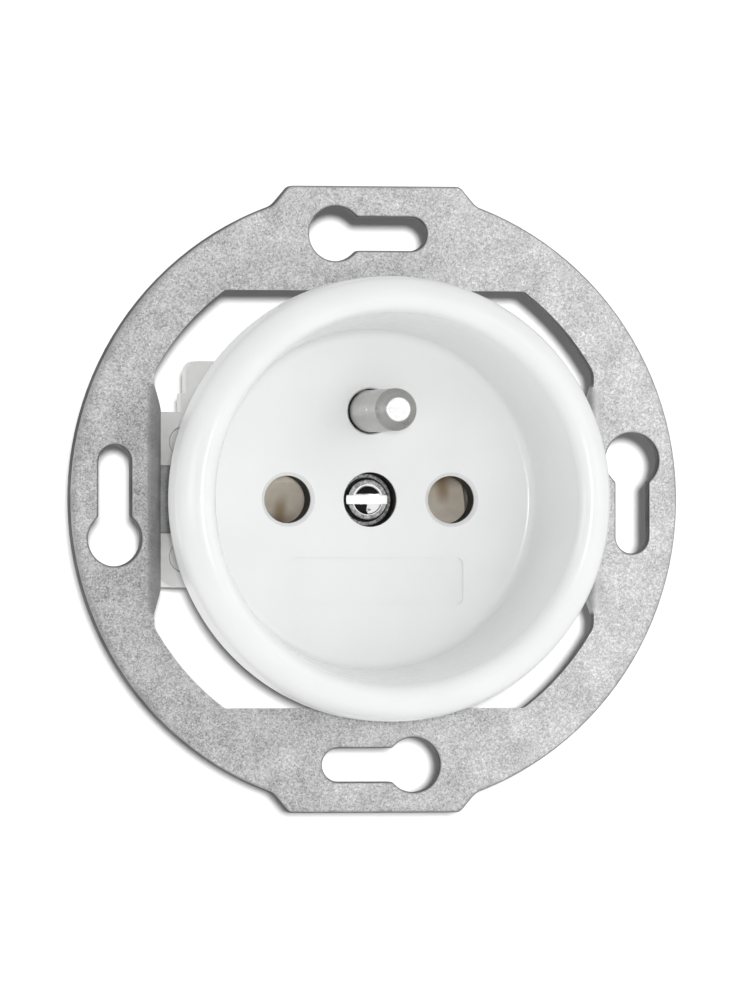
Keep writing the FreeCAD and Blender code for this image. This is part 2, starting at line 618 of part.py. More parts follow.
def earth_bridge():
    flat = plate(bridge_corners(), BRIDGE_FRONT_Y, BRIDGE_BACK_Y)
    # leg bent back from the top edge, as one L-shaped strip
    inner = BEND_INNER_R
    outer = BEND_INNER_R + BRIDGE_T
    diag = math.sqrt(0.5)
    turn_z = LEG_OUTER_Z - outer
    turn_y = BRIDGE_FRONT_Y + outer
    low_z = turn_z - BRIDGE_T

    def at(y, z):
        return VEC(-LEG_HALF_W, y, z)

    profile = Part.Wire([
        Part.makeLine(at(BRIDGE_FRONT_Y, low_z), at(BRIDGE_FRONT_Y, turn_z)),
        Part.Arc(at(BRIDGE_FRONT_Y, turn_z), at(turn_y - outer * diag, turn_z + outer * diag),
                 at(turn_y, LEG_OUTER_Z)).toShape(),
        Part.makeLine(at(turn_y, LEG_OUTER_Z), at(LEG_END_Y, LEG_OUTER_Z)),
        Part.makeLine(at(LEG_END_Y, LEG_OUTER_Z), at(LEG_END_Y, BRIDGE_TOP_Z)),
        Part.makeLine(at(LEG_END_Y, BRIDGE_TOP_Z), at(turn_y, BRIDGE_TOP_Z)),
        Part.Arc(at(turn_y, BRIDGE_TOP_Z), at(turn_y - inner * diag, turn_z + inner * diag),
                 at(BRIDGE_BACK_Y, turn_z)).toShape(),
        Part.makeLine(at(BRIDGE_BACK_Y, turn_z), at(BRIDGE_BACK_Y, low_z)),
        Part.makeLine(at(BRIDGE_BACK_Y, low_z), at(BRIDGE_FRONT_Y, low_z)),
    ])
    # the flat plate stops where the leg's bend starts
    over_bend = block(-LEG_HALF_W, LEG_HALF_W, BRIDGE_FRONT_Y, BRIDGE_BACK_Y, turn_z, LEG_OUTER_Z)
    leg = Part.Face(profile).extrude(VEC(2 * LEG_HALF_W, 0, 0))
    bridge = flat.cut(over_bend).fuse(leg).removeSplitter()
    cuts = [
        bar_y(EARTH_STUB_R + PRESS_GAP, BRIDGE_FRONT_Y, BRIDGE_BACK_Y, 0, EARTH_Z),
        bar_y(BUSH_STUB_R + PRESS_GAP, BRIDGE_FRONT_Y, BRIDGE_BACK_Y),
        bar_z(TERMINAL_BORE_R, BRIDGE_TOP_Z - 1, LEG_OUTER_Z + 1, 0, TERMINAL_Y),
    ]
    for side in (-1, 1):
        cuts.append(rivet_body(side * RIVET_X, PRESS_GAP))
    return bridge.cut(cuts)


def rivet_body(x, grow=0.0):
    """Countersunk head and shank of a rivet, or the hole for them."""
    head = cone_y(RIVET_HEAD_R + grow, RIVET_R + grow, BRIDGE_FRONT_Y, BRIDGE_FRONT_Y + RIVET_HEAD_T, x)
    return head.fuse(bar_y(RIVET_R + grow, BRIDGE_FRONT_Y, BRIDGE_FRONT_Y + RIVET_GRIP, x))


def rivet(x):
    """Countersunk rivet with a closed head behind the base's front wall."""
    tail_y = BRIDGE_FRONT_Y + RIVET_GRIP
    return rivet_body(x).fuse(bar_y(RIVET_TAIL_R, tail_y, tail_y + RIVET_TAIL_T, x))


# Insulating body

def base_outline(side_x, upper_x, y0, y1):
    """Body as seen from the front: shoulders between the ring's tabs, a turret over the earth terminal."""
    shoulder = plate([
        (-side_x, -SHOULDER_HALF_H, SHOULDER_LOW_CORNER_R), (-side_x, SHOULDER_HALF_H, CORNER_R * 0.4),
        (side_x, SHOULDER_HALF_H, CORNER_R * 0.4), (side_x, -SHOULDER_HALF_H, SHOULDER_LOW_CORNER_R),
    ], y0, y1)
    upper = plate([
        (-upper_x, 0, 0), (-upper_x, BASE_TOP_Z, CORNER_R),
        (upper_x, BASE_TOP_Z, CORNER_R), (upper_x, 0, 0),
    ], y0, y1)
    lower = plate([
        (-BASE_LOW_HALF_W, 0, 0), (BASE_LOW_HALF_W, 0, 0),
        (BASE_LOW_HALF_W, BASE_LOW_Z, COVER_LOW_CORNER_R), (-BASE_LOW_HALF_W, BASE_LOW_Z, COVER_LOW_CORNER_R),
    ], y0, y1)
    turret = plate([
        (-TURRET_HALF_W, 0, 0), (-TURRET_HALF_W, TURRET_TOP_Z, CORNER_R),
        (TURRET_HALF_W, TURRET_TOP_Z, CORNER_R), (TURRET_HALF_W, 0, 0),
    ], y0, y1)
    return shoulder.fuse([upper, lower, turret]).removeSplitter()


def base_lip():
    """Front flange of the body's upper part, stepped at both sides."""
    upper = plate([
        (-LIP_HALF_W, 0, 0), (-LIP_HALF_W, BASE_TOP_Z, CORNER_R),
        (LIP_HALF_W, BASE_TOP_Z, CORNER_R), (LIP_HALF_W, 0, 0),
    ], BASE_FRONT_Y, BASE_FRONT_Y + LIP_T)
    step = block(-LIP_HALF_W - LIP_STEP_W, LIP_HALF_W + LIP_STEP_W, BASE_FRONT_Y, BASE_FRONT_Y + LIP_T,
                 0, LIP_STEP_Z)
    return upper.fuse(step)


def shutter_pocket(y0, y1):
    """Space in which the shutter turns: a round cavity and one sector for each wing."""
    stop = WING_HALF_DEG + STOP_GAP_DEG
    low = -WING_HALF_DEG - SHUTTER_TURN_DEG - STOP_GAP_DEG
    wing_room = WING_OUT_R + SPRING_GAP
    right = sector(WING_IN_R, wing_room, y0, y1, low, stop)
    left = sector(WING_IN_R, wing_room, y0, y1, 180 + low, 180 + stop)
    return bar_y(CAVITY_R, y0, y1).fuse([right, left])


def spring_notch():
    """Groove that holds the spring's fixed leg in the body."""
    half = SPRING_WIRE_R + SEAT_GAP
    lean = SPRING_FIXED_LEG * SPRING_PITCH / (2 * math.pi * SPRING_MEAN_R)
    return block(SPRING_MEAN_R - half, SPRING_MEAN_R + half, SPRING_START_Y - half - lean, PLATE_FRONT_Y,
                 0, SPRING_FIXED_LEG + SEAT_GAP)


def base_body():
    body = base_outline(SHOULDER_HALF_W, BASE_HALF_W, BASE_FRONT_Y, BASE_BACK_Y)
    body = body.fuse(base_lip()).removeSplitter()
    grow = SEAT_GAP
    cuts = [
        plate(bridge_corners(), BASE_FRONT_Y - 1, BRIDGE_BACK_Y, grow),
        shutter_pocket(POCKET_Y, BASE_BACK_Y),
        bar_y(PLATE_R + grow, PLATE_FRONT_Y, BASE_BACK_Y),
        bar_y(BUSH_R + grow, BRIDGE_BACK_Y, POCKET_Y),
        bar_y(EARTH_HEAD_R + grow, BRIDGE_BACK_Y, BRIDGE_BACK_Y + EARTH_HEAD_T + grow, 0, EARTH_Z),
        block(-LEG_HALF_W - grow, LEG_HALF_W + grow, BASE_FRONT_Y - 1, BASE_BACK_Y,
              BRIDGE_TOP_Z - grow, LEG_OUTER_Z + grow),
        block(-LEG_HALF_W - grow, LEG_HALF_W + grow, BRIDGE_BACK_Y, BRIDGE_BACK_Y + BEND_INNER_R + grow,
              BRIDGE_TOP_Z - BEND_INNER_R - grow, BRIDGE_TOP_Z),
    ]
    for side in (-1, 1):
        x = side * CONTACT_X
        cuts.append(bar_y(BASE_HOLE_R, BASE_FRONT_Y, POCKET_Y, x))
        inner = side * (FLANGE_TIP_X - grow)
        outer = side * (SHOULDER_HALF_W + 1)
        cuts.append(block(min(inner, outer), max(inner, outer), BASE_FRONT_Y - 1, FLANGE_BACK_Y,
                          -FLANGE_HALF_H - grow, FLANGE_HALF_H + grow))
        cuts.append(bar_y(CLAW_COLLAR_R + grow, FLANGE_BACK_Y, BASE_BACK_Y, side * CLAW_HOLE_X))
        cuts.append(bar_y(RIVET_R + PRESS_GAP, FLANGE_BACK_Y, BASE_BACK_Y, side * RIVET_X))
        cuts.append(bar_y(RIVET_TAIL_R + grow, BRIDGE_FRONT_Y + RIVET_GRIP, BASE_BACK_Y, side * RIVET_X))
        for level in (-1, 1):
            cuts.append(bar_y(POST_R + POST_GAP, BASE_FRONT_Y, BASE_BACK_Y, side * POST_X, level * POST_Z))
        # the tab's inner bend passes the shoulder's outer edge
        edge = side * (TAB_FACE_X - BEND_INNER_R - grow)
        far = side * (SHOULDER_HALF_W + 1)
        cuts.append(block(min(edge, far), max(edge, far), FLANGE_BACK_Y - SHEET, FLANGE_BACK_Y + SEAT_GAP,
                          -FLANGE_HALF_H - grow, FLANGE_HALF_H + grow))
    cuts.append(spring_notch())
    return body.cut(cuts)


def driver_hole(x, z0, z1):
    return bar_z(TERMINAL_HEAD_R + DRIVER_GAP, z0, z1, x, TERMINAL_Y)


def wire_hole(x, z):
    """Wire entry in the back wall, funnelled from outside."""
    inner = COVER_BACK_Y - COVER_BACK_T
    funnel = cone_y(WIRE_HOLE_R, WIRE_FUNNEL_R, COVER_BACK_Y - COVER_BACK_T / 2, COVER_BACK_Y, x, z)
    return bar_y(WIRE_HOLE_R, inner - 1, COVER_BACK_Y, x, z).fuse(funnel)


def cover_cavity():
    """Rooms for the contacts with their terminals, and for the earth terminal above them."""
    y0 = BASE_BACK_Y
    y1 = COVER_BACK_Y - COVER_BACK_T
    low_corner_r = COVER_LOW_CORNER_R - COVER_WALL
    terminal_room = plate([
        (MIDDLE_RIB_HALF, BASE_LOW_Z + COVER_WALL, low_corner_r),
        (BASE_LOW_HALF_W - COVER_WALL, BASE_LOW_Z + COVER_WALL, low_corner_r),
        (BASE_LOW_HALF_W - COVER_WALL, 0, 0), (MIDDLE_RIB_HALF, 0, 0),
    ], y0, y1)
    sleeve_room = plate([
        (MIDDLE_RIB_HALF, COVER_WALL - SHOULDER_HALF_H, 0),
        (SLEEVE_ROOM_X, COVER_WALL - SHOULDER_HALF_H, CORNER_R),
        (SLEEVE_ROOM_X, SLEEVE_OUT_R + SLEEVE_ROOM, CORNER_R),
        (MIDDLE_RIB_HALF, SLEEVE_OUT_R + SLEEVE_ROOM, CORNER_R),
    ], y0, y1)
    room = terminal_room.fuse(sleeve_room).removeSplitter()
    earth_room = block(-TURRET_HALF_W + COVER_WALL, TURRET_HALF_W - COVER_WALL, y0, y1,
                       BRIDGE_TOP_Z - SEAT_GAP, TURRET_TOP_Z - COVER_WALL)
    return room.fuse([mirror_x(room), earth_room])


def rear_cover():
    """Rear half with the wire entries, posts into the front half and an open notch for each claw."""
    body = base_outline(COVER_SIDE_X, COVER_UPPER_X, BASE_BACK_Y, COVER_BACK_Y)
    rim = [e for e in body.Edges if e.BoundBox.YMin > COVER_BACK_Y - 0.01]
    body = body.makeChamfer(COVER_BACK_CHAMFER, rim)
    posts = []
    cuts = [cover_cavity()]
    low_wire_z = TONGUE_Z - STRIP_T - WIRE_GAP / 2
    high_wire_z = LEG_OUTER_Z + WIRE_GAP / 2
    for side in (-1, 1):
        for level in (-1, 1):
            posts.append(bar_y(POST_R, BASE_FRONT_Y + POST_SUNK, BASE_BACK_Y, side * POST_X, level * POST_Z))
        inner = side * (COVER_SIDE_X - CLAW_NOTCH_IN)
        outer = side * (COVER_SIDE_X + 1)
        cuts.append(block(min(inner, outer), max(inner, outer), BASE_BACK_Y - 1, COVER_BACK_Y + 1,
                          -CLAW_NOTCH_HALF_H, CLAW_NOTCH_HALF_H))
        cuts.append(driver_hole(side * TERMINAL_X, BASE_LOW_Z - 1, BASE_LOW_Z + COVER_WALL + 1))
        cuts.append(wire_hole(side * WIRE_PITCH / 2, high_wire_z))
        for offset in (-WIRE_PITCH / 2, WIRE_PITCH / 2):
            cuts.append(wire_hole(side * TERMINAL_X + offset, low_wire_z))
    cuts.append(driver_hole(0, TURRET_TOP_Z - COVER_WALL - 1, TURRET_TOP_Z + 1))
    return body.cut(cuts).fuse(posts)


# Shutter

def shutter_wing():
    """Right wing, covering its contact hole, with a sloped front that a pin pushes aside."""
    y0 = WING_FRONT_Y
    y1 = WING_FRONT_Y + WING_T
    wing = sector(WING_IN_R - 1, WING_OUT_R, y0, y1, -WING_HALF_DEG, WING_HALF_DEG)
    edge = WING_OUT_R * math.sin(math.radians(WING_HALF_DEG))
    low_y = y1 - WING_THIN
    slope = Part.makePolygon([
        VEC(BUSH_R, y0, -WING_FLAT), VEC(BUSH_R, low_y, edge), VEC(BUSH_R, low_y, edge + 1),
        VEC(BUSH_R, y0 - 1, edge + 1), VEC(BUSH_R, y0 - 1, -WING_FLAT), VEC(BUSH_R, y0, -WING_FLAT),
    ])
    ramp = Part.Face(slope).extrude(VEC(WING_OUT_R, 0, 0))
    keep_hub = bar_y(WING_IN_R, y0 - 1, y1)
    return wing.cut(ramp.cut(keep_hub))


def shutter():
    hub = bar_y(WING_IN_R, WING_FRONT_Y, HUB_BACK_Y)
    wing = shutter_wing()
    # catch on the right wing's back, beside the spring's free leg
    catch_x = SPRING_MEAN_R + SPRING_WIRE_R + CATCH_GAP
    catch_z = -SPRING_FREE_LEG + SPRING_WIRE_R
    catch = block(catch_x, catch_x + CATCH_W, WING_FRONT_Y + WING_T - 0.5, HUB_BACK_Y,
                  catch_z, catch_z + CATCH_H)
    rotor = hub.fuse([wing, turned(wing, 180), catch]).removeSplitter()
    return rotor.cut(bar_y(BUSH_R + HUB_BORE_GAP, WING_FRONT_Y - 1, HUB_BACK_Y + 1))


def shutter_spring():
    """Torsion spring round the hub: a coil and two straight legs."""
    height = SPRING_PITCH * SPRING_TURNS
    coil = Part.makeHelix(SPRING_PITCH, height, SPRING_MEAN_R)
    # the helix is made about +Z and laid down along +Y
    coil.rotate(VEC(0, 0, 0), VEC(1, 0, 0), -90)
    coil.translate(VEC(0, SPRING_START_Y, 0))
    edge = coil.Edges[0]
    first = edge.valueAt(edge.FirstParameter)
    first_dir = edge.tangentAt(edge.FirstParameter)
    last = edge.valueAt(edge.LastParameter)
    last_dir = edge.tangentAt(edge.LastParameter)
    begin = first - first_dir * SPRING_FIXED_LEG
    path = Part.Wire([
        Part.makeLine(begin, first),
        edge,
        Part.makeLine(last, last + last_dir * SPRING_FREE_LEG),
    ])
    section = Part.Wire(Part.makeCircle(SPRING_WIRE_R, begin, first_dir))
    return path.makePipeShell([section], True, True)


def shutter_plate():
    holes = [bar_y(BASE_HOLE_R, PLATE_FRONT_Y, BASE_BACK_Y, side * CONTACT_X) for side in (-1, 1)]
    disc = bar_y(PLATE_R, PLATE_FRONT_Y, BASE_BACK_Y)
    leg = block(-LEG_HALF_W - SEAT_GAP, LEG_HALF_W + SEAT_GAP, PLATE_FRONT_Y, BASE_BACK_Y,
                BRIDGE_TOP_Z - SEAT_GAP, LEG_OUTER_Z + 1)
    return disc.cut(holes + [leg])


# Contacts and terminals

def contact():
    """Right contact: split sleeve for the plug's pin, strip down its back, tongue at the terminal."""
    x = CONTACT_X
    sleeve = bar_y(SLEEVE_OUT_R, SLEEVE_FRONT_Y, SLEEVE_BACK_Y, x)
    low = TONGUE_Z - STRIP_T
    back = plate([
        (x - SLEEVE_OUT_R, low, 0), (x - SLEEVE_OUT_R, SLEEVE_OUT_R, SLEEVE_OUT_R * 0.9),
        (x + SLEEVE_OUT_R, SLEEVE_OUT_R, SLEEVE_OUT_R * 0.9), (x + SLEEVE_OUT_R, low, 0),
    ], SLEEVE_BACK_Y, STRIP_BACK_Y)
    tongue = block(TERMINAL_X - TONGUE_HALF_W, TERMINAL_X + TONGUE_HALF_W, STRIP_BACK_Y - TONGUE_L, STRIP_BACK_Y,
                   low, TONGUE_Z)
    part = sleeve.fuse([back, tongue])
    cuts = [
        bar_y(SLEEVE_IN_R, SLEEVE_FRONT_Y - 1, SLEEVE_BACK_Y, x),
        cone_y(SLEEVE_IN_R + SLEEVE_T * 0.8, SLEEVE_IN_R, SLEEVE_FRONT_Y - 0.01, SLEEVE_FRONT_Y + SLEEVE_T, x),
        block(x - SLEEVE_SLOT_W / 2, x + SLEEVE_SLOT_W / 2, SLEEVE_FRONT_Y - 1, SLEEVE_BACK_Y - STRIP_T,
              -SLEEVE_OUT_R - 1, SLEEVE_OUT_R + 1),
        bar_z(TERMINAL_BORE_R, low - 1, TONGUE_Z + 1, TERMINAL_X, TERMINAL_Y),
    ]
    return part.cut(cuts)


def clamp_plate(x, tongue_face, way):
    """Clamping plate below (way -1) or above (way 1) a tongue, with the wire gap between."""
    near = tongue_face + way * WIRE_GAP
    far = near + way * CLAMP_T
    z0 = min(near, far)
    body = block(x - CLAMP_HALF_W, x + CLAMP_HALF_W, TERMINAL_Y - CLAMP_HALF_L, TERMINAL_Y + CLAMP_HALF_L,
                 z0, z0 + CLAMP_T)
    upright = [e for e in body.Edges if e.BoundBox.ZLength > CLAMP_T * 0.9]
    body = body.makeFillet(CLAMP_T / 2, upright)
    return body.cut(bar_z(TERMINAL_PASS_R, z0 - 1, z0 + CLAMP_T + 1, x, TERMINAL_Y))


def terminal_screw(x, tongue_face, tongue_t, way):
    """Slotted screw: its head presses the clamping plate and its end sits in the tongue."""
    seat = tongue_face + way * (WIRE_GAP + CLAMP_T)
    top = seat + way * TERMINAL_HEAD_H
    end = tongue_face - way * tongue_t
    head = bar_z(TERMINAL_HEAD_R, min(seat, top), max(seat, top), x, TERMINAL_Y)
    rim = [e for e in head.Edges if abs(e.BoundBox.Center.z - top) < 0.01 and e.BoundBox.ZLength < 0.01]
    head = head.makeFillet(TERMINAL_SLOT_W / 4, rim)
    shank = bar_z(TERMINAL_SHANK_R, min(seat, end), max(seat, end), x, TERMINAL_Y)
    cut_z = top - way * TERMINAL_SLOT_DEPTH
    beyond = top + way
    slot = block(x - TERMINAL_HEAD_R * 2, x + TERMINAL_HEAD_R * 2, TERMINAL_Y - TERMINAL_SLOT_W / 2,
                 TERMINAL_Y + TERMINAL_SLOT_W / 2, min(cut_z, beyond), max(cut_z, beyond))
    return head.fuse(shank).cut(slot)


def all_parts():
    low_face = TONGUE_Z - STRIP_T
    right_contact = contact()
    return {
        "support_ring": support_ring(),
        "porcelain_cup": porcelain_cup(),
        "earth_pin": earth_pin(),
        "cup_screw": cup_screw(),
        "cup_washer": cup_washer(),
        "centre_bush": centre_bush(),
        "earth_bridge": earth_bridge(),
        "left_rivet": rivet(-RIVET_X),
        "right_rivet": rivet(RIVET_X),
        "base_body": base_body(),
        "shutter": shutter(),
        "shutter_spring": shutter_spring(),
        "shutter_plate": shutter_plate(),
        "rear_cover": rear_cover(),
        "live_contact": mirror_x(right_contact),
        "neutral_contact": right_contact,
        "live_clamp": clamp_plate(-TERMINAL_X, low_face, -1),
        "neutral_clamp": clamp_plate(TERMINAL_X, low_face, -1),
        "earth_clamp": clamp_plate(0, LEG_OUTER_Z, 1),
        "live_screw": terminal_screw(-TERMINAL_X, low_face, STRIP_T, -1),
        "neutral_screw": terminal_screw(TERMINAL_X, low_face, STRIP_T, -1),
        "earth_screw": terminal_screw(0, LEG_OUTER_Z, BRIDGE_T, 1),
    }


os.makedirs("parts", exist_ok=True)
for node, shape in all_parts().items():
    if not shape.isValid() or len(shape.Solids) != 1:
        print("look at", node, shape.isValid(), len(shape.Solids))
    shape.exportStep("parts/" + node + ".step")
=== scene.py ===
import json
import math

import bpy
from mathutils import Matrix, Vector


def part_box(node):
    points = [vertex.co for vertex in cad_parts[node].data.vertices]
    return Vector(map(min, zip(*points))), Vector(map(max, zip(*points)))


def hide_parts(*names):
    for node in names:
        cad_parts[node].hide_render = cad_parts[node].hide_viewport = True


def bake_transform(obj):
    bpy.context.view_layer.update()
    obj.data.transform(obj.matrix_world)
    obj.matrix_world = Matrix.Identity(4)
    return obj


# Sizes are in metres and repeat the part's own values
MM = 0.001
RING_FRONT_Y = -1.5 * MM
RING_BACK_Y = 0.0
OUTLINE_R = 35.2 * MM
BEND_IN_X = 22.6 * MM
BEND_OUT_X = 26.0 * MM
BEND_HALF_H = 13.2 * MM
FLOOR_Y = 0.9 * MM
CONTACT_X = 9.5 * MM
HOLE_R = 2.7 * MM
WELL_R = 3.1 * MM
PIN_Z = 10.0 * MM
PIN_TIP_Y = -13.1 * MM
SCREW_FACE_Y = 2.1 * MM
SCREW_HEAD_R = 2.4 * MM

# Camera of the photograph
CAMERA_AZIMUTH = -13.2
CAMERA_ELEVATION = -0.5
CAMERA_DISTANCE = 1.5
VIEW_HEIGHT = 113.0 * MM
SENSOR = 36.0
AIM = Vector((0.0, RING_FRONT_Y, -0.07 * MM))

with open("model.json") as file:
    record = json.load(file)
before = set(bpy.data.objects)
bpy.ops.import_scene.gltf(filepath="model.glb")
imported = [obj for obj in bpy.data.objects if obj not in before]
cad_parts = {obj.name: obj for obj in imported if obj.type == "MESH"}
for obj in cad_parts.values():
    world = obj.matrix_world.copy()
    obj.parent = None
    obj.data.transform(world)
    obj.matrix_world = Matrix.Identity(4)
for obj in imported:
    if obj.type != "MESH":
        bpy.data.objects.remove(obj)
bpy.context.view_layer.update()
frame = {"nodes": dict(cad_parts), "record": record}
nodes = frame["nodes"]
PLATE_FRONT_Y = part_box("shutter_plate")[0][1]
scene = bpy.context.scene


# Material helpers

class Graph:
    """Short calls that add nodes to one node tree."""

    def __init__(self, tree):
        self.tree = tree
        self.tree.nodes.clear()

    def add(self, kind):
        return self.tree.nodes.new(kind)

    def link(self, source, target):
        """Link an output, or set the socket's own value."""
        if hasattr(source, "is_output"):
            self.tree.links.new(source, target)
        else:
            target.default_value = source

    def math(self, operation, a, b=0.0, clamp=False):
        node = self.add("ShaderNodeMath")
        node.operation = operation
        node.use_clamp = clamp
        self.link(a, node.inputs[0])
        self.link(b, node.inputs[1])
        return node.outputs[0]

    def plus(self, a, b):
        return self.math("ADD", a, b)

    def minus(self, a, b, clamp=False):
        return self.math("SUBTRACT", a, b, clamp)

    def times(self, a, b):
        return self.math("MULTIPLY", a, b)

    def range(self, value, low, high, to_low=0.0, to_high=1.0, smooth=False):
        node = self.add("ShaderNodeMapRange")
        node.interpolation_type = "SMOOTHSTEP" if smooth else "LINEAR"
        for i, v in enumerate((value, low, high, to_low, to_high)):
            self.link(v, node.inputs[i])
        return node.outputs[0]

    def fade(self, value, full, gone, smooth=False):
        """1 below one value, 0 above the other."""
        return self.range(value, full, gone, 1.0, 0.0, smooth)

    def inside(self, value, low, high, edge):
        """1 where the value is between low and high, fading over an edge."""
        return self.times(self.range(value, low - edge, low, smooth=True),
                          self.fade(value, high, high + edge, smooth=True))

    def part_of(self, vector, axis):
        node = self.add("ShaderNodeSeparateXYZ")
        self.link(vector, node.inputs[0])
        return node.outputs["XYZ".index(axis)]


class Build(Graph):
    """A new material with its principled shader."""

    def __init__(self, name):
        self.material = bpy.data.materials.new(name)
        self.material.use_nodes = True
        super().__init__(self.material.node_tree)
        self.shader = self.add("ShaderNodeBsdfPrincipled")
        self.output = self.add("ShaderNodeOutputMaterial")
        self.link(self.shader.outputs["BSDF"], self.output.inputs["Surface"])
        self.place = self.add("ShaderNodeTexCoord").outputs["Object"]
        self.normal = self.add("ShaderNodeNewGeometry").outputs["Normal"]

    def set(self, name, source):
        self.link(source, self.shader.inputs[name])

    def at(self, axis):
        """Place along one axis of the object."""
        return self.part_of(self.place, axis)

    def radius(self, x, z):
        """Distance from an axis along Y through this place."""
        across = self.minus(self.at("X"), x)
        up = self.minus(self.at("Z"), z)
        return self.math("SQRT", self.plus(self.times(across, across), self.times(up, up)))

    def scaled(self, x, y, z):
        node = self.add("ShaderNodeVectorMath")
        node.operation = "MULTIPLY"
        self.link(self.place, node.inputs[0])
        node.inputs[1].default_value = (x, y, z)
        return node.outputs[0]

    def noise(self, size, detail=2.0, rough=0.5, stretch=(1, 1, 1), distortion=0.0):
        """Noise with blobs of about this size in metres, from 0 to 1."""
        node = self.add("ShaderNodeTexNoise")
        self.link(self.scaled(*[s / size for s in stretch]), node.inputs["Vector"])
        node.inputs["Scale"].default_value = 1.0
        node.inputs["Detail"].default_value = detail
        node.inputs["Roughness"].default_value = rough
        node.inputs["Distortion"].default_value = distortion
        return node.outputs["Fac"]

    def cells(self, size, value="Distance"):
        """Cells of this size in metres: distance from the centre, or a random colour each."""
        node = self.add("ShaderNodeTexVoronoi")
        self.link(self.scaled(1 / size, 1 / size, 1 / size), node.inputs["Vector"])
        node.inputs["Scale"].default_value = 1.0
        return node.outputs[value]

    def ramp(self, value, *stops):
        """Colour ramp from (place, colour) pairs."""
        node = self.add("ShaderNodeValToRGB")
        self.link(value, node.inputs[0])
        marks = node.color_ramp.elements
        while len(marks) < len(stops):
            marks.new(0.5)
        for mark, (place, colour) in zip(marks, stops):
            mark.position = place
            mark.color = (*colour, 1)
        return node.outputs[0]

    def mix(self, factor, a, b):
        """Blend of two colours."""
        node = self.add("ShaderNodeMix")
        node.data_type = "RGBA"
        self.link(factor, node.inputs[0])
        for source, socket in ((a, node.inputs[6]), (b, node.inputs[7])):
            self.link((*source, 1) if isinstance(source, tuple) else source, socket)
        return node.outputs[2]

    def bump(self, height, depth, strength, under=None):
        """Bump of this depth in metres for a height from 0 to 1."""
        node = self.add("ShaderNodeBump")
        node.inputs["Strength"].default_value = strength
        node.inputs["Distance"].default_value = depth
        self.link(height, node.inputs["Height"])
        if under is not None:
            self.link(under, node.inputs["Normal"])
        return node.outputs[0]


def grey(value, tint=(1.0, 1.0, 1.0)):
    return tuple(value * t for t in tint)


def zinc_steel():
    """Zinc-plated sheet: crystal flecks on the flats, smoother and darker at bends, with painted
    shade towards the left, along the outer edge and on the sheared edges.
    """
    b = Build("zinc_sheet")
    x = b.math("ABSOLUTE", b.at("X"))
    z = b.math("ABSOLUTE", b.at("Z"))
    facing = b.math("ABSOLUTE", b.part_of(b.normal, "Y"))
    flat = b.range(facing, 0.75, 0.97, smooth=True)
    bend = b.times(b.inside(x, BEND_IN_X, BEND_OUT_X, 0.6 * MM),
                   b.fade(z, BEND_HALF_H - 1.5 * MM, BEND_HALF_H, smooth=True))
    grainy = b.times(flat, b.range(bend, 0.0, 1.0, 1.0, 0.35))

    flecks = b.noise(0.13 * MM, detail=3.0, rough=0.75)
    crystals = b.part_of(b.cells(0.19 * MM, value="Color"), "X")
    clouds = b.noise(3.6 * MM, detail=4.0, rough=0.6)
    grain = b.plus(b.times(flecks, 0.62), b.times(crystals, 0.14))
    grain = b.plus(grain, b.times(clouds, 0.24))
    # painted shade: the plating is darker towards the left and a little towards the bottom
    shade_slope = b.plus(b.times(b.at("X"), 1.1), b.times(b.at("Z"), 0.10))
    grain = b.plus(grain, b.range(shade_slope, -30 * MM, 30 * MM, -0.055, 0.032))
    speckled = b.ramp(grain, (0.28, grey(0.15)), (0.43, grey(0.37)),
                      (0.57, grey(0.57)), (0.74, grey(0.92)))
    plain = b.ramp(clouds, (0.3, grey(0.30)), (0.7, grey(0.44)))

    # painted shade: dark band along the outer edge for the rounded edge turned from the light,
    # deepest on the left
    rim = b.range(b.radius(0.0, 0.0), OUTLINE_R - 1.1 * MM, OUTLINE_R - 0.1 * MM, smooth=True)
    rim = b.times(rim, b.fade(z, 24 * MM, 28 * MM))
    edge_shade_strength = b.range(b.at("X"), -20 * MM, 25 * MM, 0.50, 0.12)
    speckled = b.mix(b.times(rim, edge_shade_strength), speckled, grey(0.16))

    # sheared edges of the flat sheet, painted nearly black as shade on the cut walls
    sheared = b.times(b.fade(facing, 0.35, 0.80, smooth=True), b.fade(bend, 0.0, 0.3))
    sheared = b.times(sheared, b.fade(b.at("Y"), RING_BACK_Y, RING_BACK_Y + 0.1 * MM))
    cut_wall_shade = b.ramp(clouds, (0.35, grey(0.030)), (0.65, grey(0.10)))

    b.set("Base Color", b.mix(sheared, b.mix(grainy, plain, speckled), cut_wall_shade))
    b.set("Metallic", 0.85)
    b.set("Roughness", b.plus(b.range(flecks, 0.3, 0.7, 0.38, 0.56), b.times(clouds, 0.06)))
    b.set("Normal", b.bump(b.times(grain, grainy), 0.020 * MM, 0.7, b.bump(clouds, 0.02 * MM, 0.5)))
    return b.material


